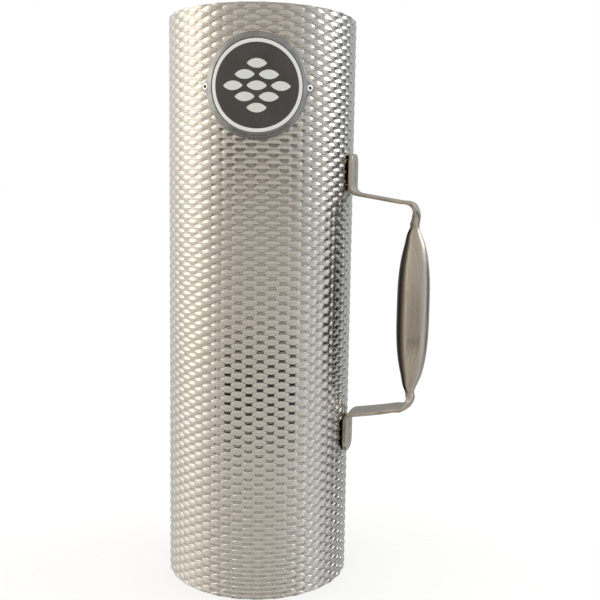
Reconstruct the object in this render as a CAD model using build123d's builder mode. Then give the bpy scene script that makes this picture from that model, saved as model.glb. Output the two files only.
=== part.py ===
from build123d import *
import os
from math import cos, radians, sin

# A metal guiro: an open tube rolled from textured stainless sheet, with a pressed steel
# carrying handle welded to its side and a round badge held on by two eyelets.
#
# Frame: millimetres, +Z up along the tube, origin on the tube's axis at its lower rim.
# The badge faces -Y. The handle stands out towards +X, turned a little to the front.

# ---------------------------------------------------------------- driving dimensions

tube_diameter = 101.6
tube_length = 304.8
sheet_thickness = 0.7
seam_overlap = 9.0            # width of the lap joint down the back of the tube

handle_angle = 75.5           # degrees round the tube from the badge to the handle
handle_mid_height = 153.2
strip_width = 18.0
strip_thickness = 2.0
foot_reach = 81.5             # from the handle's middle up, and down, to the tip of each foot
foot_bend_reach = 60.7        # from the handle's middle to the bend between foot and arm
arm_end_reach = 56.2          # the same, to where the arm levels out before its corner
arm_end_radius = 79.0         # from the tube's axis to where the arm levels out
neck_radius = 87.0            # from the tube's axis to the middle of the strip at the neck
foot_bend = 4.5               # bend radii, along the middle of the strip
arm_bend = 12.0
neck_bend = 6.0
foot_tip_rounding = 5.5
neck_narrowing = 7.0          # cut off each corner of a neck, where it meets the grip

grip_axis_radius = 86.4       # from the tube's axis to the grip's own axis
grip_radius = 8.8
grip_half_length = 45.0
grip_drop = 1.6                # the grip's middle is this far below the handle's middle
grip_wall = 1.5
grip_seam = 0.8               # gap where the rolled edges of the grip meet

badge_height = 264.9
badge_radius = 26.0
badge_rise = 1.5              # how far the badge plate stands above the tube
badge_step = 0.7              # width of the low outer part of the rim
recess_radius = 22.8
recess_depth = 0.5
disc_clearance = 0.15
disc_thickness = 0.35
ear_offset = 26.8             # round the tube, from the badge's centre to each eyelet
ear_radius = 2.6
ear_root_half_height = 4.4
ear_rise = 0.8

eyelet_shank_radius = 1.1
eyelet_hole_radius = 0.6
eyelet_head_radius = 1.7
eyelet_head_thickness = 0.45
eyelet_clinch_radius = 1.8
eyelet_clinch_thickness = 0.4
eyelet_clinch_gap = 0.05      # room for the flat clinch inside the round tube

# ---------------------------------------------------------------- derived dimensions

tube_radius = tube_diameter / 2
tube_bore_radius = tube_radius - sheet_thickness
past_the_tube = tube_radius + 20

handle_direction = Vector(sin(radians(handle_angle)), -cos(radians(handle_angle)), 0)
handle_plane = Plane(
    origin=(0, 0, handle_mid_height),
    x_dir=handle_direction,
    z_dir=handle_direction.cross(Vector(0, 0, 1)),
)
badge_plane = Plane(origin=(0, 0, badge_height), x_dir=(1, 0, 0), z_dir=(0, -1, 0))


def chord(distance_round_tube, radius=tube_radius):
    """Half-width, seen from the front, of a length that is wrapped round the tube."""
    return radius * sin(distance_round_tube / radius)


def disc_on_tube(radius, lower_face, upper_face):
    """Round plate wrapped on the tube at the badge, between two radii from the tube's axis."""
    with BuildPart() as disc:
        with BuildSketch(badge_plane):
            Ellipse(chord(radius), radius)
        extrude(amount=past_the_tube)
        with BuildSketch():
            Circle(upper_face)
            Circle(lower_face, mode=Mode.SUBTRACT)
        extrude(amount=tube_length, mode=Mode.INTERSECT)
    return disc.part


def eyelet_plane(side):
    """Plane on the tube's outer face at one eyelet, facing straight out. Side is -1 or +1."""
    turn = side * ear_offset / tube_radius
    outwards = Vector(sin(turn), -cos(turn), 0)
    return Plane(
        origin=outwards * tube_radius + Vector(0, 0, badge_height),
        x_dir=(0, 0, 1),
        z_dir=outwards,
    )


eyelet_planes = {"left": eyelet_plane(-1), "right": eyelet_plane(1)}

os.makedirs("parts", exist_ok=True)

# ---------------------------------------------------------------- shell

# The sheet is rolled into a tube, and one edge laps inside the other at the back.
with BuildPart() as shell:
    with BuildSketch():
        Circle(tube_radius)
        Circle(tube_bore_radius, mode=Mode.SUBTRACT)
    extrude(amount=tube_length)

    with BuildSketch():
        with Locations((0, tube_bore_radius)):
            Rectangle(seam_overlap, 4 * sheet_thickness)
        Circle(tube_bore_radius + sheet_thickness / 2, mode=Mode.INTERSECT)
        Circle(tube_bore_radius - sheet_thickness, mode=Mode.SUBTRACT)
    extrude(amount=tube_length)

    for plane in eyelet_planes.values():
        with BuildSketch(plane):
            Circle(eyelet_shank_radius)
        extrude(amount=2 * sheet_thickness, both=True, mode=Mode.SUBTRACT)

shell.part.label = "shell"
export_step(shell.part, "parts/shell.step")

# ---------------------------------------------------------------- handle

# One pressed strip makes both feet, both arms and both necks, and its wide middle is
# rolled up into a hollow spindle for the hand, with the seam on the side of the tube.
foot_middle = tube_radius + strip_thickness / 2
neck_end_reach = grip_half_length - 4    # from the grip's middle
grip_inner_radius = grip_radius - grip_wall
grip_inner_half_length = grip_half_length - grip_wall
outwards_axis = Axis((0, 0, 0), tuple(handle_direction))
grip_axis = Axis(tuple(handle_direction * grip_axis_radius), (0, 0, 1))

with BuildPart() as handle:
    with BuildSketch(handle_plane):
        for side in (1, -1):
            with BuildLine():
                FilletPolyline(
                    (foot_middle, side * foot_reach),
                    (foot_middle, side * foot_bend_reach),
                    (arm_end_radius, side * arm_end_reach),
                    (neck_radius, side * arm_end_reach),
                    (neck_radius, side * neck_end_reach - grip_drop),
                    radius=(foot_bend, arm_bend, neck_bend),
                )
            trace(line_width=strip_thickness)
    extrude(amount=strip_width / 2, both=True)

    # Rounded corners at the tips of the feet.
    through_edges = handle.edges().filter_by(outwards_axis).group_by(Axis.Z)
    fillet(through_edges[-1] + through_edges[0], radius=foot_tip_rounding)

    # The necks narrow to the ends of the grip.
    through_edges = handle.edges().filter_by(outwards_axis)
    neck_corners = through_edges.sort_by(lambda edge: abs(edge.center().Z - handle_mid_height))
    chamfer(neck_corners[:4], length=neck_narrowing)

    # The hollow grip.
    with BuildSketch(handle_plane):
        with Locations((grip_axis_radius, -grip_drop)):
            Ellipse(grip_radius, grip_half_length)
            Ellipse(grip_inner_radius, grip_inner_half_length, mode=Mode.SUBTRACT)
        with Locations((grip_axis_radius - grip_radius, -grip_drop)):
            Rectangle(2 * grip_radius, 2 * grip_half_length, mode=Mode.SUBTRACT)
    revolve(axis=grip_axis)

    # The seam, left open a little.
    with BuildSketch(handle_plane):
        with Locations((grip_axis_radius - grip_radius, -grip_drop)):
            Rectangle(grip_radius, 2 * neck_end_reach)
    extrude(amount=grip_seam / 2, both=True, mode=Mode.SUBTRACT)

handle.part.label = "handle"
export_step(handle.part, "parts/handle.step")

# ---------------------------------------------------------------- badge plate

# A round plate bent to the tube, with a stepped rim, a recess for the printed disc and a
# small ear with an eyelet hole on each side.
recess_floor = tube_radius + badge_rise - recess_depth
raised_radius = badge_radius - badge_step
raised_part = disc_on_tube(raised_radius, tube_radius, tube_radius + badge_rise)
recess_part = disc_on_tube(recess_radius, recess_floor, tube_radius + 2 * badge_rise)
ear_x = chord(ear_offset)
ear_root_x = chord(badge_radius - ear_radius)

with BuildPart() as badge_plate:
    with BuildSketch(badge_plane):
        Ellipse(chord(badge_radius), badge_radius)
        with BuildLine():
            Polyline(
                (ear_x, ear_radius),
                (ear_root_x, ear_root_half_height),
                (0, 0),
                (ear_root_x, -ear_root_half_height),
                (ear_x, -ear_radius),
                close=True,
            )
        make_face()
        with Locations((ear_x, 0)):
            Circle(ear_radius)
        mirror(about=Plane.YZ)
    extrude(amount=past_the_tube)
    with BuildSketch():
        Circle(tube_radius + ear_rise)
        Circle(tube_radius, mode=Mode.SUBTRACT)
    extrude(amount=tube_length, mode=Mode.INTERSECT)

    add(raised_part)
    add(recess_part, mode=Mode.SUBTRACT)

    for plane in eyelet_planes.values():
        with BuildSketch(plane):
            Circle(eyelet_shank_radius)
        extrude(amount=2 * ear_rise, both=True, mode=Mode.SUBTRACT)

badge_plate.part.label = "badge_plate"
export_step(badge_plate.part, "parts/badge_plate.step")

# ---------------------------------------------------------------- badge disc

# The printed foil disc that lies in the plate's recess.
disc_part = disc_on_tube(
    recess_radius - disc_clearance, recess_floor, recess_floor + disc_thickness
)

with BuildPart() as badge_disc:
    add(disc_part)

badge_disc.part.label = "badge_disc"
export_step(badge_disc.part, "parts/badge_disc.step")

# ---------------------------------------------------------------- eyelets

# Each hollow eyelet goes through an ear and the sheet, and is clinched inside the tube.
# Its profile is drawn beside its own axis, which runs straight out of the tube.
clinch_bottom = -sheet_thickness - eyelet_clinch_gap - eyelet_clinch_thickness
head_top = ear_rise + eyelet_head_thickness

for side, plane in eyelet_planes.items():
    with BuildPart() as eyelet:
        with BuildSketch(plane.offset(clinch_bottom)):
            Circle(eyelet_clinch_radius)
        extrude(amount=eyelet_clinch_thickness)
        with BuildSketch(plane.offset(clinch_bottom)):
            Circle(eyelet_shank_radius)
        extrude(amount=head_top - clinch_bottom)
        with BuildSketch(plane.offset(ear_rise)):
            Circle(eyelet_head_radius)
        extrude(amount=eyelet_head_thickness)
        with BuildSketch(plane.offset(clinch_bottom)):
            Circle(eyelet_hole_radius)
        extrude(amount=head_top - clinch_bottom, mode=Mode.SUBTRACT)

    eyelet.part.label = f"badge_eyelet_{side}"
    export_step(eyelet.part, f"parts/badge_eyelet_{side}.step")
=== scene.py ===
from math import cos, pi, radians, sin

import bpy
import numpy as np
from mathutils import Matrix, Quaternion, Vector


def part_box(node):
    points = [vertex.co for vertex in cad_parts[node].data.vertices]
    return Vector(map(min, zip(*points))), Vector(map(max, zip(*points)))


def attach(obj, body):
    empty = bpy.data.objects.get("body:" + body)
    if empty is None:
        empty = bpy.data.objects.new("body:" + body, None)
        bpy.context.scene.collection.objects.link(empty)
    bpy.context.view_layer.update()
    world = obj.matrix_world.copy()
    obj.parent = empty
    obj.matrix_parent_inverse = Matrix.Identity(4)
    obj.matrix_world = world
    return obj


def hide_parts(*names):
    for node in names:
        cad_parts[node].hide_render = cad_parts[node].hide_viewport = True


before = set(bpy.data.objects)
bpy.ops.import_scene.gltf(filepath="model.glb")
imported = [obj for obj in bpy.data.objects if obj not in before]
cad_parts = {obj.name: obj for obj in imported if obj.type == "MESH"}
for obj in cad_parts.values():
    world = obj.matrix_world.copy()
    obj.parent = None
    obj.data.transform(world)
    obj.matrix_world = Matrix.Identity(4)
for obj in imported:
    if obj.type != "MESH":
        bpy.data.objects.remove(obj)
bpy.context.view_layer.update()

MM = 0.001

# ---------------------------------------------------------------- places read from the frame

SHELL_LOW, SHELL_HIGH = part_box("shell")
TUBE_RADIUS = SHELL_HIGH.x
TUBE_LENGTH = SHELL_HIGH.z - SHELL_LOW.z

DISC_LOW, DISC_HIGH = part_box("badge_disc")
BADGE_HEIGHT = (DISC_LOW.z + DISC_HIGH.z) / 2
DISC_RADIUS = (DISC_HIGH.z - DISC_LOW.z) / 2

PLATE_LOW, PLATE_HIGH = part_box("badge_plate")
PLATE_RADIUS = (PLATE_HIGH.z - PLATE_LOW.z) / 2
PLATE_RISE = -PLATE_LOW.y - TUBE_RADIUS

HANDLE_LOW, HANDLE_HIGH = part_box("handle")
HANDLE_MIDDLE = (HANDLE_LOW.z + HANDLE_HIGH.z) / 2
FOOT_REACH = (HANDLE_HIGH.z - HANDLE_LOW.z) / 2

# ---------------------------------------------------------------- sizes that the frame doesn't give

SHEET = 0.6 * MM
RELIEF_DEPTH = 0.56 * MM          # from the crown of a pillow to the floor of a hollow
PILLOW_COLUMNS = 56               # round the tube
PILLOW_ROWS = 61                  # along the tube
PILLOW_TURN = radians(3.45)       # from the badge's middle to the nearest column of pillows

HANDLE_TURN = radians(75.5)       # round the tube, from the badge to the handle
STRIP_WIDTH = 18 * MM
STRIP_THICKNESS = 2 * MM
FOOT_BEND_REACH = 60.7 * MM       # reaches are up and down from the handle's middle
ARM_END_REACH = 56.2 * MM
ARM_END_RADIUS = 79 * MM          # radii are from the tube's axis
NECK_RADIUS = 88.0 * MM
GRIP_AXIS_RADIUS = 86.4 * MM
GRIP_RADIUS = 8.8 * MM
GRIP_WALL = 1.5 * MM
GRIP_SEAM = 0.8 * MM

EYELET_OFFSET = 26.8 * MM         # round the tube, from the badge's middle
EYELET_SHANK_RADIUS = 1.1 * MM


# ---------------------------------------------------------------- mesh helpers

DIMPLE_STEP = 0.5                 # width of a dimple's edge, as a share of its radius
CUTTER_REACH = 4 * MM             # of the tool that cuts an eyelet hole, in and out of the tube
CUTTER_SEGMENTS = 32
NO_RADIUS = 0.001 * MM            # closes the middle of a turned shape


def smoothstep(x):
    x = np.clip(x, 0.0, 1.0)
    return x * x * (3 - 2 * x)


def mix(a, b, share):
    return a + (b - a) * share


def dimple(distance, radius, flat_share):
    """1 in the flat middle of a round dimple and 0 outside it, with a soft step between."""
    return 1 - smoothstep((distance / radius - flat_share) / DIMPLE_STEP)


def on_tube(arc, height, rise):
    """Points at an arc length round the tube from the badge's middle, a height and a rise."""
    angle = np.asarray(arc) / TUBE_RADIUS
    radius = TUBE_RADIUS + np.asarray(rise)
    height = np.broadcast_to(height, np.broadcast(angle, radius).shape)
    return np.stack([radius * np.sin(angle), -radius * np.cos(angle), height], axis=-1)


def grid_quads(rows, columns, first=0, closed=False):
    """Quads of a grid of points stored row by row, joined round in each row if closed."""
    row, column = np.meshgrid(
        np.arange(rows - 1), np.arange(columns if closed else columns - 1), indexing="ij"
    )
    after = (column + 1) % columns
    corners = [
        row * columns + column,
        row * columns + after,
        (row + 1) * columns + after,
        (row + 1) * columns + column,
    ]
    return first + np.stack(corners, axis=-1).reshape(-1, 4)


def mesh_object(name, points, quads, sharp_above=None):
    """Smooth-shaded object from points and quads. A quad that repeats a point is a triangle."""
    points = np.asarray(points, float).reshape(-1, 3)
    mesh = bpy.data.meshes.new(name)
    mesh.from_pydata(points.tolist(), [], [list(dict.fromkeys(q)) for q in quads.tolist()])
    mesh.polygons.foreach_set("use_smooth", [True] * len(mesh.polygons))
    if sharp_above is not None:
        mesh.set_sharp_from_angle(angle=sharp_above)
    mesh.update()
    piece = bpy.data.objects.new(name, mesh)
    bpy.context.scene.collection.objects.link(piece)
    return piece


def point_values(piece, name, values):
    """Stores one number for each point, which a material reads by name."""
    layer = piece.data.attributes.new(name, "FLOAT", "POINT")
    layer.data.foreach_set("value", np.asarray(values, np.float32).ravel())


def eyelet_axes(side):
    """Middle of one eyelet on the tube's face, and the directions out of the tube and round it."""
    turn = (-1 if side == "left" else 1) * EYELET_OFFSET / TUBE_RADIUS
    outwards = np.array([sin(turn), -cos(turn), 0])
    sideways = np.array([cos(turn), sin(turn), 0])
    return outwards * TUBE_RADIUS + np.array([0, 0, BADGE_HEIGHT]), outwards, sideways


def turned_piece(name, profile, side, segments, sharp_above=None):
    """Rings round an eyelet's axis. The profile holds (radius, height over the tube)."""
    middle, outwards, sideways = eyelet_axes(side)
    spin = np.linspace(0, 2 * pi, segments, endpoint=False)
    circle = np.cos(spin)[:, None] * sideways + np.sin(spin)[:, None] * np.array([0, 0, 1])
    rings = [middle + outwards * height + radius * circle for radius, height in profile]
    quads = grid_quads(len(rings), segments, closed=True)
    return mesh_object(name, np.array(rings), quads, sharp_above)


def cut_eyelet_holes(piece):
    """Cuts the two holes that the eyelets go through."""
    profile = [
        (NO_RADIUS, -CUTTER_REACH), (EYELET_SHANK_RADIUS, -CUTTER_REACH),
        (EYELET_SHANK_RADIUS, CUTTER_REACH), (NO_RADIUS, CUTTER_REACH), (NO_RADIUS, -CUTTER_REACH),
    ]
    for side in ("left", "right"):
        cutter = turned_piece("cutter", profile, side, CUTTER_SEGMENTS)
        cut = piece.modifiers.new("hole", "BOOLEAN")
        cut.operation = "DIFFERENCE"
        cut.solver = "EXACT"
        cut.object = cutter
        shape = bpy.data.meshes.new_from_object(
            piece.evaluated_get(bpy.context.evaluated_depsgraph_get())
        )
        piece.modifiers.clear()
        piece.data = shape
        bpy.data.objects.remove(cutter)


def finish_piece(piece, material, node=None):
    """Gives a piece its material and its slot, and the CAD node that it stands in for."""
    piece.data.materials.append(material)
    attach(piece, "root")
    if node:
        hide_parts(node)


# ---------------------------------------------------------------- material helpers

def opaque(colour):
    """A colour with its alpha, or a socket as it is."""
    return (*colour, 1) if isinstance(colour, tuple) else colour


class Nodes:
    """A short way to write a node tree."""

    def __init__(self, tree):
        self.tree = tree
        tree.nodes.clear()

    def add(self, kind, settings=None, **inputs):
        """A new node. An input's name has _ where the socket's has a space."""
        node = self.tree.nodes.new(kind)
        for key, value in (settings or {}).items():
            setattr(node, key, value)
        for key, value in inputs.items():
            self.feed(node, key.replace("_", " "), value)
        return node

    def feed(self, node, socket, value):
        socket = node.inputs[socket]
        if isinstance(value, bpy.types.NodeSocket):
            self.tree.links.new(value, socket)
        else:
            socket.default_value = value

    def math(self, operation, *values):
        node = self.add("ShaderNodeMath", {"operation": operation})
        for place, value in enumerate(values):
            self.feed(node, place, value)
        return node.outputs[0]

    def ramp(self, value, stops):
        """Colour ramp. Each stop is (place, (red, green, blue))."""
        node = self.add("ShaderNodeValToRGB", Fac=value)
        node.color_ramp.interpolation = "LINEAR"
        while len(node.color_ramp.elements) < len(stops):
            node.color_ramp.elements.new(0.5)
        for element, (place, colour) in zip(node.color_ramp.elements, stops):
            element.position = place
            element.color = (*colour, 1)
        return node.outputs["Color"]

    def spread(self, value, low, high, to_low, to_high):
        """Maps low..high to to_low..to_high with soft ends."""
        node = self.add("ShaderNodeMapRange", {"interpolation_type": "SMOOTHSTEP"})
        for place, number in enumerate((value, low, high, to_low, to_high)):
            self.feed(node, place, number)
        return node.outputs[0]

    def noise(self, where, scale, detail=3.0, roughness=0.5):
        node = self.add("ShaderNodeTexNoise", Vector=where, Scale=scale, Detail=detail)
        node.inputs["Roughness"].default_value = roughness
        return node.outputs["Fac"]

    def stretched(self, where, scale):
        return self.add("ShaderNodeMapping", Vector=where, Scale=scale).outputs[0]

    def blend(self, share, a, b):
        """Colour a where the share is 0, and colour b where it is 1."""
        node = self.add("ShaderNodeMix", {"data_type": "RGBA"})
        for place, value in ((0, share), (6, a), (7, b)):     # the colours' sockets are 6 and 7
            self.feed(node, place, opaque(value))
        return node.outputs[2]

    def mix_shaders(self, share, a, b):
        """Shader a where the share is 0, and shader b where it is 1."""
        node = self.add("ShaderNodeMixShader")
        for place, value in enumerate((share, a.outputs[0], b.outputs[0])):
            self.feed(node, place, value)
        return node

    def attribute(self, name):
        return self.add("ShaderNodeAttribute", {"attribute_name": name}).outputs["Fac"]

    def bump(self, height, strength, distance):
        node = self.add("ShaderNodeBump", Strength=strength, Distance=distance, Height=height)
        return node.outputs[0]

    def object_place(self):
        """Where a point is on the object, in metres."""
        return self.add("ShaderNodeTexCoord").outputs["Object"]


def new_material(name):
    material = bpy.data.materials.new(name)
    material.use_nodes = True
    return material, Nodes(material.node_tree)


def close_material(nodes, shader):
    nodes.add("ShaderNodeOutputMaterial", Surface=shader.outputs[0])


def principled(nodes, **inputs):
    close_material(nodes, nodes.add("ShaderNodeBsdfPrincipled", **inputs))


def textured_stainless():
    """Bright rolled sheet: smears, grain and fine scratches, and its narrow shiny grooves darkened
    by painted shade with some dirt.
    """
    material, nodes = new_material("textured stainless")
    place = nodes.object_place()
    height = nodes.attribute("relief")

    smears = nodes.noise(place, 34.0, 4.0, 0.6)
    patches = nodes.noise(nodes.stretched(place, (1, 1, 0.35)), 11.0, 2.0)
    scratches = nodes.noise(nodes.stretched(place, (900, 900, 60)), 1.0, 2.0)
    grain = nodes.noise(place, 700.0, 3.0, 0.7)

    clean = nodes.blend(
        nodes.spread(patches, 0.3, 0.7, 0.0, 1.0), (0.60, 0.585, 0.56), (0.66, 0.655, 0.64)
    )
    worn = nodes.blend(nodes.spread(grain, 0.35, 0.7, 0.0, 0.22), clean, (0.42, 0.40, 0.37))
    # Painted shade with some dirt: where the relief is low, in the grooves, the colour darkens.
    groove_grime_and_painted_shade = nodes.spread(height, 0.02, 0.14, 0.40, 0.0)
    colour = nodes.blend(groove_grime_and_painted_shade, worn, (0.22, 0.20, 0.17))

    polish = nodes.spread(height, 0.05, 0.4, 0.06, 0.17)
    rough = nodes.math("ADD", polish, nodes.spread(smears, 0.35, 0.75, 0.0, 0.05))
    bump = nodes.bump(scratches, 0.10, 0.2 * MM)
    principled(nodes, Base_Color=colour, Metallic=1.0, Roughness=rough, Normal=bump)
    return material


def brushed_steel():
    """Satin strip, brushed along its length, with worn bright spots, faint weld tints and painted
    shade on the grip's side round its seam.
    """
    material, nodes = new_material("brushed handle steel")
    along = nodes.add("ShaderNodeUVMap", {"uv_map": "along"}).outputs[0]
    place = nodes.object_place()

    grain = nodes.noise(nodes.stretched(along, (40, 5200, 1)), 1.0, 3.0, 0.65)
    patches = nodes.noise(place, 60.0, 3.0, 0.55)
    base = nodes.blend(
        nodes.spread(grain, 0.3, 0.7, 0.0, 1.0), (0.37, 0.335, 0.29), (0.59, 0.55, 0.50)
    )
    colour = nodes.blend(nodes.attribute("weld"), base, (0.30, 0.21, 0.13))
    # Painted shade: the grip's side round its seam, which faces the tube, is darkened to near
    # black.
    colour = nodes.blend(nodes.attribute("seam"), colour, (0.035, 0.026, 0.018))
    rough = nodes.math(
        "ADD",
        nodes.spread(grain, 0.25, 0.75, 0.24, 0.36),
        nodes.spread(patches, 0.4, 0.7, -0.04, 0.05),
    )
    bump = nodes.bump(grain, 0.12, 0.1 * MM)
    principled(nodes, Base_Color=colour, Metallic=1.0, Roughness=rough, Normal=bump)
    return material


def badge_metal():
    """Grey plate, brushed round its rim."""
    material, nodes = new_material("badge metal")
    place = nodes.object_place()
    parts = nodes.add("ShaderNodeSeparateXYZ", Vector=place).outputs
    arc = nodes.math("ARCSINE", nodes.math("DIVIDE", parts["X"], TUBE_RADIUS + PLATE_RISE))
    arc = nodes.math("MULTIPLY", arc, TUBE_RADIUS)
    up = nodes.math("SUBTRACT", parts["Z"], BADGE_HEIGHT)
    radius = nodes.math("SQRT", nodes.math(
        "ADD", nodes.math("MULTIPLY", arc, arc), nodes.math("MULTIPLY", up, up)
    ))
    turned = nodes.add("ShaderNodeCombineXYZ", X=radius, Y=arc, Z=up).outputs[0]
    marks = nodes.noise(nodes.stretched(turned, (4200, 160, 160)), 1.0, 3.0)
    grain = nodes.noise(place, 1900.0, 3.0, 0.7)
    patches = nodes.noise(place, 120.0, 3.0)
    colour = nodes.blend(
        nodes.spread(patches, 0.3, 0.7, 0.0, 1.0), (0.23, 0.24, 0.245), (0.32, 0.33, 0.335)
    )
    colour = nodes.blend(nodes.spread(marks, 0.45, 0.7, 0.0, 0.5), colour, (0.38, 0.39, 0.39))
    rough = nodes.spread(grain, 0.3, 0.7, 0.18, 0.32)
    height = nodes.math("ADD", marks, nodes.math("MULTIPLY", grain, 0.6))
    bump = nodes.bump(height, 0.14, 0.1 * MM)
    principled(nodes, Base_Color=colour, Metallic=1.0, Roughness=rough, Normal=bump)
    return material


def charcoal_print():
    """Matt charcoal ink with a fine grain."""
    material, nodes = new_material("charcoal print")
    place = nodes.object_place()
    grain = nodes.noise(place, 2600.0, 2.0)
    cloud = nodes.noise(place, 90.0, 3.0)
    colour = nodes.blend(
        nodes.spread(cloud, 0.3, 0.7, 0.0, 1.0), (0.034, 0.030, 0.027), (0.044, 0.039, 0.036)
    )
    rough = nodes.spread(grain, 0.3, 0.7, 0.46, 0.60)
    bump = nodes.bump(grain, 0.1, 0.05 * MM)
    principled(nodes, Base_Color=colour, Roughness=rough, Normal=bump)
    return material


def silver_print(name, dull, bright):
    """Pale silver ink, between two greys."""
    material, nodes = new_material(name)
    place = nodes.object_place()
    flakes = nodes.noise(place, 3200.0, 2.0)
    colour = nodes.blend(nodes.spread(flakes, 0.3, 0.7, 0.0, 1.0), dull, bright)
    rough = nodes.spread(flakes, 0.3, 0.7, 0.40, 0.52)
    principled(nodes, Base_Color=colour, Metallic=0.2, Roughness=rough)
    return material


def eyelet_metal():
    """Bright aluminium, a little scuffed, with its bore painted near black as shade."""
    material, nodes = new_material("eyelet metal")
    place = nodes.object_place()
    scuffs = nodes.noise(place, 1500.0, 3.0)
    colour = nodes.blend(
        nodes.spread(scuffs, 0.3, 0.7, 0.0, 1.0), (0.86, 0.855, 0.84), (0.95, 0.95, 0.94)
    )
    # Painted shade: the bore is painted near black.
    colour = nodes.blend(nodes.attribute("bore"), colour, (0.006, 0.006, 0.006))
    rough = nodes.spread(scuffs, 0.3, 0.7, 0.22, 0.36)
    principled(nodes, Base_Color=colour, Metallic=0.7, Roughness=rough)
    return material


STAINLESS = textured_stainless()
HANDLE_STEEL = brushed_steel()
PLATE_METAL = badge_metal()
CHARCOAL = charcoal_print()
RING_SILVER = silver_print("ring silver", (0.62, 0.62, 0.60), (0.72, 0.72, 0.70))
SILVER = silver_print("silver print", (0.56, 0.57, 0.54), (0.64, 0.65, 0.62))
EYELET_METAL = eyelet_metal()


# ---------------------------------------------------------------- the textured shell

COLUMN_PITCH = 2 * pi * TUBE_RADIUS / PILLOW_COLUMNS
ROW_PITCH = TUBE_LENGTH / PILLOW_ROWS
PILLOW_START = PILLOW_TURN * TUBE_RADIUS     # arc length to the nearest column's middle
PILLOW_BULGE = 0.68               # how far the pillows' outlines swing, as a share of the most
PILLOW_HALF_LENGTH = 0.71 * COLUMN_PITCH
RIDGE_POWER = 2.2                 # a higher one keeps a pillow's ridge level for longer
CREASE_RELIEF = 0.10              # relief of the grooves where they are highest
LIP_SHARE = 0.78                  # of the way from ridge to edge, where the steep lip starts
LIP_FALL = 0.5                    # share of the whole fall that is over at that place
GROOVE_SHARE = 0.89               # of the way from ridge to edge, where the flat groove starts
LINES_PER_COLUMN = 7
OUTER_STEPS = (0.0, 0.07, LIP_SHARE, GROOVE_SHARE, 1.0)      # points from a ridge to its edge
INNER_STEPS = (0.0, 1.0)

SEAM_ARC = pi * TUBE_RADIUS       # the seam runs down the back
SEAM_LAP = 8.5 * MM
SEAM_LINES = (0.12 * MM, 0.45 * MM)          # extra lines of points on each side of the seam
SEAM_CALM = 4 * MM                # the pillows are pressed flatter near the seam
SEAM_PRESSING = 0.55              # how much flatter they are on it
PRESSED_RELIEF = 0.8              # the relief that they are pressed towards
WELD_PITCH = 25.4 * MM
WELD_RADIUS = 2.3 * MM
WELD_DEPTH = 0.3 * MM
RIM_BEVEL = 0.12 * MM
RIM_RELIEF = 0.6                  # for the material, since the rims have no pillows
SHARP_ANGLE = radians(27)         # hard edges above this keep the grooves flat
UNWRAP_EDGE = 2 * MM              # free height at the top and the bottom of the unwrap
UNWRAP_MARGIN = 0.01              # free width beside each face in it, as a share


def pillow_edge(across):
    """Half-height of a pillow at a distance across it from its middle."""
    return ROW_PITCH / 4 * (1 + PILLOW_BULGE * np.cos(pi * across / COLUMN_PITCH))


def ridge_height(across):
    """Relief along a pillow's ridge, which ends in the hollow between the next two pillows."""
    share = np.clip(across / PILLOW_HALF_LENGTH, 0, 1)
    return 1 - share ** RIDGE_POWER


def crease_height(across):
    """Relief along a pillow's edge, a little higher where it meets the next column's."""
    return CREASE_RELIEF * np.sin(pi * across / COLUMN_PITCH) ** 3


def relief(across, share):
    """Relief, 0 to 1, at a share of the way from the ridge of a pillow to its edge.

    A pillow is shaped like a low roof, with a steep lip and a narrow flat groove round it.
    """
    fall = np.interp(share, (0.0, LIP_SHARE, GROOVE_SHARE), (0.0, LIP_FALL, 1.0))
    return mix(ridge_height(across), crease_height(across), fall)


def pillow_rows(across, steps):
    """Heights and relief of one vertical line of points, over one row of pillows.

    The line is at a distance across from the middle of its own column, whose ridges are at
    0 and ROW_PITCH. The next column's ridges are half a row higher.
    """
    edge = pillow_edge(across)
    rest = ROW_PITCH / 2 - edge
    own = [(edge * step, relief(across, step)) for step in steps]
    beyond = COLUMN_PITCH - across
    other = [(ROW_PITCH / 2 - rest * step, relief(beyond, step)) for step in steps[-2::-1]]
    rising = own + other
    falling = [(ROW_PITCH - height, value) for height, value in rising[-2:0:-1]]
    return rising + falling


def seam_lines():
    """Arc positions of the tube's vertical lines of points, closer together at the seam."""
    spacing = COLUMN_PITCH / LINES_PER_COLUMN
    lines = PILLOW_START + spacing * np.arange(PILLOW_COLUMNS * LINES_PER_COLUMN)
    near, far = SEAM_LINES
    extra = np.concatenate([
        SEAM_ARC + np.array([-far, -near, near, far]),
        SEAM_ARC - SEAM_LAP + np.array([-near, near]),
    ])
    crowded = np.abs(lines[:, None] - extra[None, :]).min(axis=1) < 0.3 * spacing
    return np.sort(np.concatenate([lines[~crowded], extra]))


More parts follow.
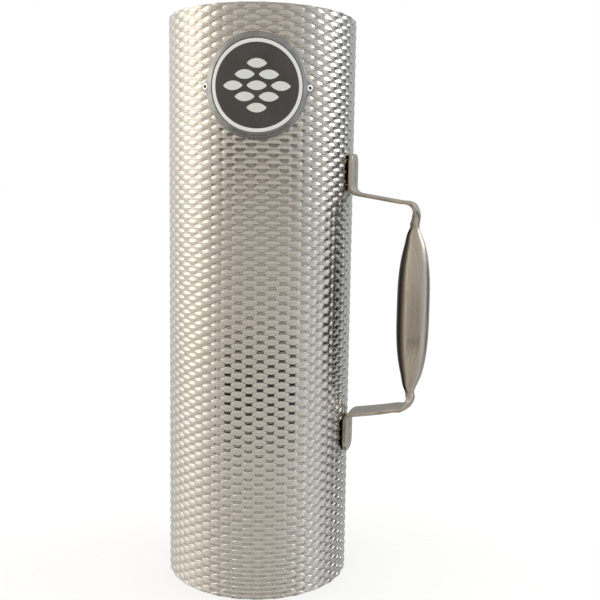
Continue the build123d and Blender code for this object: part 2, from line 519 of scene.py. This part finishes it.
def tube_wall(steps, inside):
    """Points and relief of the tube's outer or inner face, one row of points per height."""
    lines = seam_lines()
    across = np.abs((lines - PILLOW_START + COLUMN_PITCH) % (2 * COLUMN_PITCH) - COLUMN_PITCH)
    one_row = np.array([pillow_rows(distance, steps) for distance in across])
    count = one_row.shape[1]
    rows = np.arange(PILLOW_ROWS * count + 1)
    height = one_row[:, rows % count, 0].T + (rows // count)[:, None] * ROW_PITCH
    height = np.clip(height, 0, TUBE_LENGTH)
    value = one_row[:, rows % count, 1].T

    beside_seam = lines - SEAM_ARC
    calm = 1 - SEAM_PRESSING * np.exp(-((beside_seam / SEAM_CALM) ** 2))
    value = mix(PRESSED_RELIEF, value, calm[None, :])
    rise = -RELIEF_DEPTH * (1 - value)

    # Past the seam line the sheet dives under the lap, by its own thickness.
    dive = np.where(beside_seam > 0, 1 - smoothstep(beside_seam / (2 * SEAM_LAP)), 0.0)
    if inside:
        under_lap = (beside_seam > -SEAM_LAP) & (beside_seam <= 0)
        dive = np.where(under_lap, 1.0, dive)
    rise = rise - SHEET * dive[None, :] - (SHEET if inside else 0)

    # Spot welds, in a line down the lap.
    nearest = (np.round(height / WELD_PITCH - 0.5) + 0.5) * WELD_PITCH
    distance = np.hypot(beside_seam[None, :] + SEAM_LAP / 2, height - nearest)
    spot = dimple(distance, WELD_RADIUS, 0.6)
    dent = -WELD_DEPTH - RELIEF_DEPTH * 0.5 - (SHEET * (1 + dive) if inside else 0)
    rise = mix(rise, dent, spot)
    return on_tube(lines[None, :], height, rise), value


def bake_unwrap(shell, skin, outer_count, inner_count):
    """The unwrap for baked exports: outer face and rims in the left half, inner in the right."""
    strips, columns = len(skin) - 1, skin.shape[1]
    heights = (skin[..., 2] + UNWRAP_EDGE) / (TUBE_LENGTH + 2 * UNWRAP_EDGE)
    heights[outer_count + 1] += 0.5 * UNWRAP_EDGE / TUBE_LENGTH
    turn = np.linspace(0, 1, columns + 1)
    inside = np.zeros(strips, bool)
    inside[outer_count + 1:outer_count + 1 + inner_count] = True
    uv = np.empty((strips, columns, 4, 2))
    for corner, (above, beside) in enumerate(((0, 0), (0, 1), (1, 1), (1, 0))):
        across = UNWRAP_MARGIN + (0.5 - 2 * UNWRAP_MARGIN) * turn[beside:columns + beside]
        uv[:, :, corner, 0] = across[None, :] + 0.5 * inside[:, None]
        uv[:, :, corner, 1] = np.roll(heights[above:strips + above], -beside, axis=1)
    layer = shell.data.uv_layers.new(name="OFBake")
    layer.data.foreach_set("uv", uv.astype(np.float32).ravel())


def make_shell():
    outer, outer_relief = tube_wall(OUTER_STEPS, inside=False)
    inner, inner_relief = tube_wall(INNER_STEPS, inside=True)
    columns = outer.shape[1]

    # Two rings at each rim take the sharp edge off the cut sheet.
    rings = []
    for row, inwards in ((0, 1), (-1, -1)):
        rings.append(mix(outer[row], inner[row], RIM_BEVEL / SHEET))
        rings.append(mix(inner[row], outer[row], RIM_BEVEL / SHEET))
        outer[row][:, 2] += inwards * RIM_BEVEL
        inner[row][:, 2] += inwards * RIM_BEVEL
    low_outer, low_inner, high_outer, high_inner = (ring[None] for ring in rings)

    # One closed skin: up the outside, over the top rim, down the inside, under the lower rim.
    skin = np.concatenate([
        outer, high_outer, high_inner, inner[::-1], low_inner, low_outer, outer[:1],
    ])
    rim = np.full((2, columns), RIM_RELIEF)
    values = np.concatenate([outer_relief, rim, inner_relief[::-1], rim])
    points = skin[:-1].reshape(-1, 3)
    quads = grid_quads(len(skin), columns, closed=True) % len(points)
    shell = mesh_object("shell", points, quads)
    point_values(shell, "relief", values)
    bake_unwrap(shell, skin, len(outer), len(inner))
    cut_eyelet_holes(shell)
    shell.data.set_sharp_from_angle(angle=SHARP_ANGLE)
    finish_piece(shell, STAINLESS, "shell")


make_shell()


# ---------------------------------------------------------------- the handle

OUTWARDS = Vector((sin(HANDLE_TURN), -cos(HANDLE_TURN), 0))
ACROSS = Vector((cos(HANDLE_TURN), sin(HANDLE_TURN), 0))
FOOT_BEND = 4.5 * MM
ARM_BEND = 12 * MM
NECK_BEND = 7.6 * MM
FOOT_ROUNDING = 5.5 * MM
HANDLE_SHARP_ANGLE = radians(50)
STRIP_EDGE = 0.35 * MM            # radius of the strip's long edges
EDGE_CUT = 0.29                   # how far in the middle of that rounding lies, as a share of it
POINTS_ACROSS = 33
GRIP_DROP = 1.6 * MM              # the grip's middle is this far below the handle's middle
GRIP_END = 44.3 * MM              # from the grip's middle to the closed ends of the grip
CURL_START = 57 * MM              # from the grip's middle: past this the strip is flat
CURL_END = 39 * MM                # nearer than this the strip is a closed tube
NECK_END = 48.4 * MM              # from the handle's middle: where the neck's corner is over
NECK_WIDTH = 11.3 * MM            # of the strip where it closes
RING_RADIUS = 2.45 * MM           # of the closed tube at the end of the grip
RING_SHIFT = 0.85 * MM            # of its axis towards the guiro
RING_SHIFT_START = 34 * MM        # from the grip's middle
RING_SHIFT_LENGTH = 10 * MM
RUN_OUT_SOFTNESS = 0.02           # of the grip's profile, where it runs out into the neck
NARROWING_LENGTH = 10 * MM        # of the neck, from CURL_START towards the grip
FOLLOW_START = GRIP_END + 3 * MM  # from the grip's middle: the strip starts to follow the grip
FOLLOW_LENGTH = 4 * MM
FOOT_WELDS = (6.5 * MM, 14 * MM)  # from the tip of a foot
FOOT_WELD_RADIUS = 2.4 * MM
FOOT_WELD_DEPTH = 0.28 * MM
WELD_TINT = 0.5                   # strongest tint of the ring round a weld
SEAM_SIDE_PAINTED_SHADE = (0.62, 0.78)         # of the way round the grip to its seam, where painted shade darkens it
ARC_STEP = 0.45 * MM              # longest step between stations, in a bend
STRIP_STEP = 0.7 * MM             # and on the rest of the flat strip
TIP_STATIONS = (0, 0.02, 0.08, 0.2, 0.5, 1.0, 1.7, 2.6, 3.6, 4.6, 5.5)   # mm from the tip


def rounded_path(corners, radii):
    """Points along a polyline whose inner corners are arcs, as (radius, reach) pairs."""
    points = [np.array(corners[0], float)]
    for before, corner, after, radius in zip(corners, corners[1:], corners[2:], radii):
        before, corner, after = (np.array(p, float) for p in (before, corner, after))
        back = (before - corner) / np.linalg.norm(before - corner)
        onward = (after - corner) / np.linalg.norm(after - corner)
        turn = pi - np.arccos(np.clip(back @ onward, -1, 1))
        reach = radius * np.tan(turn / 2)
        middle = corner + (back + onward) / np.linalg.norm(back + onward) * (
            radius / np.cos(turn / 2)
        )
        start, end = corner + back * reach, corner + onward * reach
        steps = max(4, int(np.ceil(turn * radius / ARC_STEP)))
        first = start - middle
        side = np.sign(first[0] * (end - middle)[1] - first[1] * (end - middle)[0])
        for share in np.linspace(0, 1, steps + 1):
            angle = side * turn * share
            spin = np.array([[np.cos(angle), -np.sin(angle)], [np.sin(angle), np.cos(angle)]])
            points.append(middle + spin @ first)
    points.append(np.array(corners[-1], float))
    dense = [points[0]]
    for a, b in zip(points, points[1:]):
        count = max(1, int(np.ceil(np.linalg.norm(b - a) / STRIP_STEP)))
        dense += [a + (b - a) * k / count for k in range(1, count + 1)]
    return np.array(dense)


def grip_profile(reach):
    """Outer radius of the grip at a distance from the grip's middle."""
    left = 1 - (np.abs(reach) / GRIP_END) ** 3
    left = (left + np.sqrt(left ** 2 + RUN_OUT_SOFTNESS)) / 2
    return RING_RADIUS + (GRIP_RADIUS - RING_RADIUS) * np.minimum(left, 1)


def half_handle_stations(drop):
    """The strip from the tip of a foot to the handle's middle, as a dictionary of arrays.

    The drop is how far the grip's middle lies on the far side of the handle's middle. Reaches
    are from the handle's middle, and inner reaches are from the grip's own.
    """
    foot = TUBE_RADIUS + STRIP_THICKNESS / 2
    flat = rounded_path(
        [
            (foot, FOOT_REACH - TIP_STATIONS[-1] * MM),
            (foot, FOOT_BEND_REACH),
            (ARM_END_RADIUS, ARM_END_REACH),
            (NECK_RADIUS, ARM_END_REACH),
            (NECK_RADIUS, NECK_END),
        ],
        [FOOT_BEND, ARM_BEND, NECK_BEND],
    )
    tip = np.array([(foot, FOOT_REACH - place * MM) for place in TIP_STATIONS[:-1]])
    grip_end = GRIP_END - drop
    reach = np.concatenate([
        np.linspace(NECK_END, grip_end, 14)[1:],
        grip_end * np.cos(np.linspace(0, pi / 2, 26))[1:],
    ])
    inner = np.abs(reach + drop)
    axis = GRIP_AXIS_RADIUS - RING_SHIFT * smoothstep(
        (inner - RING_SHIFT_START) / RING_SHIFT_LENGTH
    )
    settled = smoothstep((NECK_END - reach) / (NECK_END - grip_end))
    crown = mix(NECK_RADIUS, axis + grip_profile(inner) - GRIP_WALL / 2, settled)
    path = np.concatenate([tip, flat, np.stack([crown, reach], axis=-1)])
    reach = path[:, 1]
    inner = reach + drop

    from_tip = np.concatenate([[0], np.cumsum(np.linalg.norm(np.diff(path, axis=0), axis=1))])
    corner = np.clip(FOOT_ROUNDING - from_tip, 0, FOOT_ROUNDING)
    width = STRIP_WIDTH - 2 * (FOOT_ROUNDING - np.sqrt(FOOT_ROUNDING ** 2 - corner ** 2))
    # On the neck the strip narrows while it starts to curl, and then it follows the grip.
    closing = smoothstep((CURL_START - inner) / (CURL_START - CURL_END))
    thickness = mix(STRIP_THICKNESS, GRIP_WALL, closing)
    middle_radius = grip_profile(inner) - GRIP_WALL / 2
    closed = 2 * pi - GRIP_SEAM / middle_radius
    curl = closing * closed
    narrow = smoothstep((CURL_START - inner) / NARROWING_LENGTH)
    follows = smoothstep((FOLLOW_START - inner) / FOLLOW_LENGTH)
    width = mix(mix(width, NECK_WIDTH, narrow), curl * middle_radius, follows)
    return {"path": path, "width": width, "thickness": thickness, "curl": curl,
            "from_tip": from_tip}


def strip_section(width, thickness, curl, from_tip):
    """Closed outline of the strip, as (outwards, across) pairs.

    With it come the weld value of each point and its place across the strip when flat.
    """
    edge = min(STRIP_EDGE, thickness * 0.4)
    half = width / 2
    spread = np.linspace(-1, 1, POINTS_ACROSS) * (half - edge)
    top = np.full(POINTS_ACROSS, thickness / 2)
    weld = np.zeros(POINTS_ACROSS)
    for place in FOOT_WELDS:
        distance = np.hypot(spread, from_tip - place)
        top = top - FOOT_WELD_DEPTH * dimple(distance, FOOT_WELD_RADIUS, 0.55)
        ring = np.exp(-(((distance / FOOT_WELD_RADIUS) - 1.15) / 0.35) ** 2)
        weld = np.maximum(weld, ring)
    cut = EDGE_CUT * edge
    corner = np.array([
        (half - cut, thickness / 2 - cut),
        (half, thickness / 2 - edge),
        (half, -thickness / 2 + edge),
        (half - cut, -thickness / 2 + cut),
    ])
    outline = np.concatenate([
        np.stack([spread, top], axis=-1),
        corner,
        np.stack([spread[::-1], np.full(POINTS_ACROSS, -thickness / 2)], axis=-1),
        corner[::-1] * (-1, 1),
    ])
    values = np.concatenate([weld, np.zeros(4), np.zeros(POINTS_ACROSS), np.zeros(4)])
    along, lift = outline[:, 0], outline[:, 1]
    if curl < 1e-3:
        return np.stack([lift, along], axis=-1), values, along
    radius = width / curl
    angle = along / radius
    outwards = (radius + lift) * np.cos(angle) - radius
    sideways = (radius + lift) * np.sin(angle)
    return np.stack([outwards, sideways], axis=-1), values, along


def make_handle():
    loops, weld, across_uv, curl = [], [], [], []
    for flip, drop in ((1, GRIP_DROP), (-1, -GRIP_DROP)):
        half = half_handle_stations(drop)
        path = half["path"]
        tangent = np.gradient(path, axis=0)
        tangent[path[:, 1] < NECK_END] = (0, -1)      # the grip's sections are level
        tangent /= np.linalg.norm(tangent, axis=1)[:, None]
        face = np.stack([-tangent[:, 1], tangent[:, 0]], axis=-1)
        order = range(len(path)) if flip > 0 else range(len(path) - 2, -1, -1)
        for k in order:
            outline, welds, along = strip_section(
                half["width"][k], half["thickness"][k], half["curl"][k], half["from_tip"][k]
            )
            spot = path[k] + outline[:, :1] * face[k]
            loops.append(np.stack([spot[:, 0], outline[:, 1], flip * spot[:, 1]], axis=-1))
            weld.append(welds)
            across_uv.append(along)
            curl.append(half["curl"][k])
    loops, weld, across_uv, curl = (np.array(part) for part in (loops, weld, across_uv, curl))
    count = loops.shape[1]

    outwards, across = np.array(OUTWARDS), np.array(ACROSS)
    points = (
        loops[..., :1] * outwards + loops[..., 1:2] * across + loops[..., 2:] * (0, 0, 1)
        + np.array((0, 0, HANDLE_MIDDLE))
    )
    quads = [grid_quads(len(loops), count, closed=True)[:, ::-1]]
    # The two tips: each point of the outer face joins the one behind it.
    front = np.arange(POINTS_ACROSS + 4)
    back = (2 * POINTS_ACROSS + 3 - front) % count
    for first, flip in ((0, False), ((len(loops) - 1) * count, True)):
        cap = np.stack([front[:-1], front[1:], back[1:], back[:-1]], axis=-1)
        cap = cap[[len(set(q)) > 2 for q in cap.tolist()]]
        quads.append(first + (cap[:, ::-1] if flip else cap))
    quads = np.concatenate(quads)

    handle = mesh_object("handle", points, quads, HANDLE_SHARP_ANGLE)
    point_values(handle, "weld", weld * WELD_TINT)
    # Painted shade: how dark the grip's side round its seam is painted.
    turned = np.abs(across_uv) / np.abs(across_uv).max(axis=1, keepdims=True)
    shade = smoothstep((turned - SEAM_SIDE_PAINTED_SHADE[0]) / (SEAM_SIDE_PAINTED_SHADE[1] - SEAM_SIDE_PAINTED_SHADE[0]))
    rolled = smoothstep(curl[:, None] / pi - 0.8)         # only where the strip closes up
    point_values(handle, "seam", shade * rolled)
    run = np.concatenate([[0], np.cumsum(np.linalg.norm(np.diff(loops[:, 0], axis=0), axis=1))])
    uv = np.stack([np.broadcast_to(run[:, None], across_uv.shape), across_uv], axis=-1)
    layer = handle.data.uv_layers.new(name="along")
    corners = np.zeros(len(handle.data.loops), int)
    handle.data.loops.foreach_get("vertex_index", corners)
    layer.data.foreach_set("uv", uv.reshape(-1, 2)[corners].astype(np.float32).ravel())
    finish_piece(handle, HANDLE_STEEL, "handle")


make_handle()


# ---------------------------------------------------------------- the badge

BADGE_SEGMENTS = 208
BADGE_SHARP_ANGLE = radians(40)
EAR_CROWDING = 0.35               # how much closer together the points are at the ears
EAR_LENGTH = 3.1 * MM             # how far an ear stands out past the round plate
EAR_HALF_WIDTH = 2.75 * MM
EAR_ROOT_LENGTH = 0.3 * MM
EAR_ROOT_HALF_WIDTH = 4.4 * MM
RECESS_DEPTH = 0.5 * MM
RECESS_FLOOR = PLATE_RISE - RECESS_DEPTH
DISC_THICKNESS = 0.35 * MM
DISC_TOP = RECESS_FLOOR + DISC_THICKNESS
DISC_BEVEL = 0.06 * MM
DISC_HOLE = 0.05 * MM             # too small to see, and under the ornament
INK = 0.03 * MM                   # how far the print stands over the disc
INK_BEVEL = 0.01 * MM
RING_OUTER = 22.5 * MM
RING_INNER = 20.7 * MM


def on_badge(radius, turn, rise):
    """A point of the badge, at a radius and angle round its middle, wrapped on the tube."""
    return on_tube(radius * np.cos(turn), BADGE_HEIGHT + radius * np.sin(turn), rise)


def ear_reach(turn):
    """How far the plate's outline stands out past its circle, at the two ears."""
    beside = np.abs(np.sin(turn)) * PLATE_RADIUS
    tip = EAR_LENGTH * np.exp(-((beside / EAR_HALF_WIDTH) ** 3.4))
    root = EAR_ROOT_LENGTH * np.exp(-((beside / EAR_ROOT_HALF_WIDTH) ** 4))
    return tip + root


def lathe_on_badge(name, rows):
    """Rings of points round the badge's middle. A row is (radius, rise, share of the ears)."""
    turns = np.linspace(0, 2 * pi, BADGE_SEGMENTS, endpoint=False)
    turns = turns - EAR_CROWDING * np.sin(2 * turns)
    radii = np.array([radius + share * ear_reach(turns) for radius, _, share in rows])
    rises = np.array([rise for _, rise, _ in rows])[:, None]
    points = on_badge(radii, turns[None, :], rises).reshape(-1, 3)
    quads = grid_quads(len(rows), BADGE_SEGMENTS, closed=True)
    return mesh_object(name, points, quads, BADGE_SHARP_ANGLE)


# From the middle of the plate's back, over its ears and rim, to the middle of its recess:
# (radius in mm, rise over the tube in mm, share of the ears).
PLATE_PROFILE = (
    (0.05, 0, 0), (10, 0, 0), (18, 0, 0), (25, 0, 0.5), (25.9, 0, 1), (26, 0.1, 1),
    (26, 0.62, 1), (25.95, 0.74, 1), (25.8, 0.80, 0.95), (25.45, 0.80, 0.1), (25.3, 0.84, 0),
    (25.22, 1.02, 0), (25.1, 1.14, 0), (24.9, 1.20, 0), (24.2, 1.31, 0), (23.5, 1.42, 0),
    (23.3, 1.48, 0), (23.1, 1.50, 0), (22.95, 1.48, 0), (22.86, 1.42, 0), (22.8, 1.30, 0),
    (22.8, 1.0, 0), (20, 1.0, 0), (14, 1.0, 0), (7, 1.0, 0), (0.05, 1.0, 0), (0.05, 0, 0),
)


def make_badge_plate():
    rows = [(radius * MM, rise * MM, ears) for radius, rise, ears in PLATE_PROFILE]
    plate = lathe_on_badge("badge_plate", rows)
    cut_eyelet_holes(plate)
    plate.data.set_sharp_from_angle(angle=BADGE_SHARP_ANGLE)
    finish_piece(plate, PLATE_METAL, "badge_plate")


def make_badge_disc():
    rows = [
        (DISC_HOLE, RECESS_FLOOR), (DISC_RADIUS, RECESS_FLOOR),
        (DISC_RADIUS, DISC_TOP - DISC_BEVEL), (DISC_RADIUS - DISC_BEVEL, DISC_TOP),
        (0.96 * DISC_RADIUS, DISC_TOP),
    ]
    rows += [(DISC_RADIUS * tenths / 10, DISC_TOP) for tenths in range(9, 0, -1)]
    rows += [(DISC_HOLE, DISC_TOP), (DISC_HOLE, RECESS_FLOOR)]
    disc = lathe_on_badge("badge_disc", [(radius, rise, 0) for radius, rise in rows])
    finish_piece(disc, CHARCOAL, "badge_disc")


def make_badge_ring():
    low, high = DISC_TOP - INK, DISC_TOP + INK
    rows = [
        (RING_OUTER, low), (RING_OUTER, high - INK_BEVEL), (RING_OUTER - INK, high),
        (mix(RING_OUTER, RING_INNER, 0.35), high), (mix(RING_OUTER, RING_INNER, 0.7), high),
        (RING_INNER + INK, high), (RING_INNER, high - INK_BEVEL), (RING_INNER, low),
        (RING_OUTER, low),
    ]
    ring = lathe_on_badge("badge_ring", [(radius, rise, 0) for radius, rise in rows])
    finish_piece(ring, RING_SILVER)


LOZENGE_LENGTH = 9.6 * MM
LOZENGE_HEIGHT = 4.6 * MM
LOZENGE_POWER = 0.8               # of its outline: 0.5 is an ellipse, and 1 has sharp ends
LOZENGE_PITCH = 11.61 * MM        # between neighbours in a row
LOZENGE_ROW_PITCH = 5.332 * MM
LOZENGES_IN_ROWS = (1, 2, 3, 2, 1)
LOZENGE_STEPS = (16, 8)           # of points, along it and over it


def lozenge(middle_across, middle_up):
    """One printed lozenge with curved sides: a thin closed slab, as points and quads."""
    across_steps, up_steps = LOZENGE_STEPS
    along = np.cos(np.linspace(pi, 0, across_steps + 1))
    half = LOZENGE_HEIGHT / 2 * (1 - along ** 2) ** LOZENGE_POWER
    share = np.linspace(-1, 1, up_steps + 1)
    across = middle_across + along[None, :] * LOZENGE_LENGTH / 2 + 0 * share[:, None]
    up = middle_up + share[:, None] * half[None, :]
    low = on_tube(across, BADGE_HEIGHT + up, DISC_TOP - INK)
    high = on_tube(across, BADGE_HEIGHT + up, DISC_TOP + INK)
    count = low.size // 3
    columns = across_steps + 1
    top = grid_quads(up_steps + 1, columns)
    bottom = top[:, ::-1] + count
    edge = np.concatenate([
        np.arange(columns),
        np.arange(columns, count - columns, columns) + columns - 1,
        np.arange(count - 1, count - columns - 1, -1),
        np.arange(count - 2 * columns, columns - 1, -columns),
    ])
    after = np.roll(edge, -1)
    wall = np.stack([edge + count, after + count, after, edge], axis=-1)
    points = np.concatenate([high.reshape(-1, 3), low.reshape(-1, 3)])
    return points, np.concatenate([top, bottom, wall])


def make_badge_ornament():
    """Nine lozenges in a diamond."""
    points, quads = [], []
    total = 0
    for row, count in enumerate(LOZENGES_IN_ROWS):
        up = (len(LOZENGES_IN_ROWS) // 2 - row) * LOZENGE_ROW_PITCH
        for place in range(count):
            across = (place - (count - 1) / 2) * LOZENGE_PITCH
            more_points, more_quads = lozenge(across, up)
            points.append(more_points)
            quads.append(more_quads + total)
            total += len(more_points)
    ornament = mesh_object(
        "badge_ornament", np.concatenate(points), np.concatenate(quads), BADGE_SHARP_ANGLE
    )
    finish_piece(ornament, SILVER)


# From the bore, over the head and down the shank to the clinched end, in mm: (radius, height
# over the tube).
EYELET_PROFILE = [
    (0.60, -1.05), (0.60, 0.75), (0.68, 1.00), (0.80, 1.14), (1.00, 1.22), (1.22, 1.20),
    (1.45, 1.10), (1.62, 0.97), (1.68, 0.86), (1.66, 0.80), (1.10, 0.80), (1.10, -0.74),
    (1.45, -0.76), (1.72, -0.84), (1.78, -0.95), (1.68, -1.06), (1.40, -1.13), (1.00, -1.16),
    (0.72, -1.13), (0.60, -1.05),
]
EYELET_BORE_RADIUS = 0.7          # mm: what lies nearer the eyelet's axis is in its bore, which is painted near black as shade
EYELET_SEGMENTS = 48
EYELET_SHARP_ANGLE = radians(45)


def make_eyelet(side):
    name = f"badge_eyelet_{side}"
    profile = [(radius * MM, height * MM) for radius, height in EYELET_PROFILE]
    eyelet = turned_piece(name, profile, side, EYELET_SEGMENTS, EYELET_SHARP_ANGLE)
    # Painted shade: the points in the bore are marked to be painted near black.
    bore_painted_shade_mask = [radius < EYELET_BORE_RADIUS for radius, _ in EYELET_PROFILE]
    point_values(eyelet, "bore", np.repeat(bore_painted_shade_mask, EYELET_SEGMENTS))
    finish_piece(eyelet, EYELET_METAL, name)


make_badge_plate()
make_badge_disc()
make_badge_ring()
make_badge_ornament()
for eyelet_side in ("left", "right"):
    make_eyelet(eyelet_side)


# ---------------------------------------------------------------- floor, light and camera

FLOOR_SIZE = 12.0
FLOOR_GLOW = 0.65                 # share of the floor that glows and takes no shadow


def make_floor():
    """A pale floor that is clear from below and isn't seen in reflections."""
    half = FLOOR_SIZE / 2
    corners = np.array([(-half, -half, 0), (half, -half, 0), (half, half, 0), (-half, half, 0)])
    floor = mesh_object("floor", corners, np.array([[0, 1, 2, 3]]))
    material, nodes = new_material("floor")
    facing = nodes.add("ShaderNodeNewGeometry").outputs["Backfacing"]
    lit = nodes.add("ShaderNodeBsdfDiffuse", Color=(0.9, 0.9, 0.9, 1))
    glow = nodes.add("ShaderNodeEmission", Color=(1.0, 1.0, 1.0, 1), Strength=1.0)
    pale = nodes.mix_shaders(FLOOR_GLOW, lit, glow)
    clear = nodes.add("ShaderNodeBsdfTransparent")
    close_material(nodes, nodes.mix_shaders(facing, pale, clear))
    floor.data.materials.append(material)
    floor.visible_glossy = False


def patch(nodes, turn, rise, turns, rises, soft):
    """1 inside a patch of the walls between two turns and two rises, in degrees."""
    sides = []
    for value, (low, high) in ((turn, turns), (rise, rises)):
        over = nodes.spread(value, low - soft, low + soft, 0.0, 1.0)
        under = nodes.spread(value, high - soft, high + soft, 1.0, 0.0)
        sides.append(nodes.math("MULTIPLY", over, under))
    return nodes.math("MULTIPLY", *sides)


WARM = (1, 0.925, 0.815)
SAND = (1, 0.93, 0.83)
PLAIN = (1, 0.985, 0.96)
GREENISH = (0.97, 1, 0.96)

# The walls of the studio, as (degrees round from the badge's side, brightness, tint).
UPPER_WALL = [
    (-180, 0.42, GREENISH), (-163, 0.60, GREENISH), (-145, 0.95, PLAIN), (-118, 1.25, WARM),
    (-98, 2.30, WARM), (-80, 2.30, WARM), (-62, 0.98, WARM), (-45, 0.78, SAND), (-15, 0.73, SAND),
    (25, 0.72, SAND), (50, 0.72, PLAIN), (67, 0.74, PLAIN), (84, 0.85, PLAIN), (110, 0.75, PLAIN),
    (130, 0.60, GREENISH), (155, 0.60, GREENISH), (180, 0.42, GREENISH),
]
LOWER_WALL = [
    (-180, 0.38, GREENISH), (-160, 0.60, GREENISH), (-130, 0.80, PLAIN), (-105, 0.95, WARM),
    (-85, 0.95, WARM), (-65, 0.80, WARM), (-40, 0.73, SAND), (0, 0.70, SAND), (40, 0.70, SAND),
    (67, 0.77, PLAIN), (96, 0.62, PLAIN), (112, 0.55, PLAIN), (135, 0.55, GREENISH),
    (155, 0.55, GREENISH), (180, 0.38, GREENISH),
]
WALL_JOIN = (-20.0, 12.0)         # degrees of rise over which the lower wall fades to the upper

# Patches on the walls: degrees round, degrees of rise, softness in degrees, and colour.
PATCHES = (
    ((-48, 52), (-17, -9.5), 1.2, (0.02, 0.019, 0.017)),     # dark flag, low in front
    ((76, 84), (-45, 30), 3.0, (1.15, 1.14, 1.12)),          # narrow light on the right
    ((84, 120), (14, 46), 4.0, (3.3, 3.27, 3.2)),            # window on the right
    ((101, 129), (-16, 4), 4.0, (0.13, 0.13, 0.135)),        # dark flag under the window
)
CEILING_START = (55.0, 70.0)      # degrees of rise
CEILING = (1.0, 0.98, 0.95)
GROUND_START = (-65.0, -48.0)
GROUND = (0.2, 0.19, 0.17)
FILL_LIGHT = (1.18, 1.18, 1.17)   # what lights the dull surfaces
BACKDROP = (1.0, 1.0, 1.0)        # what the camera sees


def make_world():
    """A soft studio: warm light on the left wall, a window on the right, and two dark flags."""
    world = bpy.data.worlds.new("studio")
    bpy.context.scene.world = world
    world.use_nodes = True
    nodes = Nodes(world.node_tree)
    direction = nodes.add("ShaderNodeTexCoord").outputs["Generated"]
    parts = nodes.add("ShaderNodeSeparateXYZ", Vector=direction).outputs
    turn = nodes.math("ARCTAN2", parts["X"], nodes.math("MULTIPLY", parts["Y"], -1.0))
    turn = nodes.math("DEGREES", turn)
    rise = nodes.math("DEGREES", nodes.math("ARCSINE", parts["Z"]))

    place = nodes.add("ShaderNodeMapRange")
    for socket, value in enumerate((turn, -180.0, 180.0, 0.0, 1.0)):
        nodes.feed(place, socket, value)
    walls = [
        nodes.ramp(place.outputs[0], [
            ((degrees + 180) / 360, tuple(brightness * share for share in tint))
            for degrees, brightness, tint in wall
        ])
        for wall in (LOWER_WALL, UPPER_WALL)
    ]
    colour = nodes.blend(nodes.spread(rise, *WALL_JOIN, 0.0, 1.0), *walls)
    for turns, rises, soft, shade in PATCHES:
        colour = nodes.blend(patch(nodes, turn, rise, turns, rises, soft), colour, shade)
    colour = nodes.blend(nodes.spread(rise, *CEILING_START, 0.0, 1.0), colour, CEILING)
    colour = nodes.blend(nodes.spread(rise, *GROUND_START, 1.0, 0.0), colour, GROUND)

    path = nodes.add("ShaderNodeLightPath").outputs
    colour = nodes.blend(path["Is Diffuse Ray"], colour, FILL_LIGHT)
    colour = nodes.blend(path["Is Camera Ray"], colour, BACKDROP)
    background = nodes.add("ShaderNodeBackground", Color=colour, Strength=1.0)
    nodes.add("ShaderNodeOutputWorld", Surface=background.outputs[0])


CAMERA_DISTANCE = 0.467           # from the tube's axis
CAMERA_TURN = radians(3.2)        # round the tube, from the badge to the camera
CAMERA_HEIGHT = 0.2095
CAMERA_HEADING = radians(-0.45)   # away from the badge's own line of sight, to the right
CAMERA_TILT = radians(6.84)
CAMERA_ROLL = radians(0.92)
CAMERA_LENS = 49.8                # mm
SENSOR_WIDTH = 36                 # mm
NEAREST_SEEN = 0.01


def make_camera():
    data = bpy.data.cameras.new("camera")
    data.lens = CAMERA_LENS
    data.sensor_width = SENSOR_WIDTH
    data.clip_start = NEAREST_SEEN
    camera = bpy.data.objects.new("camera", data)
    camera.location = (
        CAMERA_DISTANCE * sin(CAMERA_TURN), -CAMERA_DISTANCE * cos(CAMERA_TURN), CAMERA_HEIGHT
    )
    look = Vector((
        sin(CAMERA_HEADING) * cos(CAMERA_TILT),
        cos(CAMERA_HEADING) * cos(CAMERA_TILT),
        -sin(CAMERA_TILT),
    ))
    camera.rotation_mode = "QUATERNION"
    camera.rotation_quaternion = (
        look.to_track_quat("-Z", "Y") @ Quaternion((0, 0, 1), CAMERA_ROLL)
    )
    bpy.context.scene.collection.objects.link(camera)
    bpy.context.scene.camera = camera


make_floor()
make_world()
make_camera()
bpy.context.scene.view_settings.view_transform = "Standard"
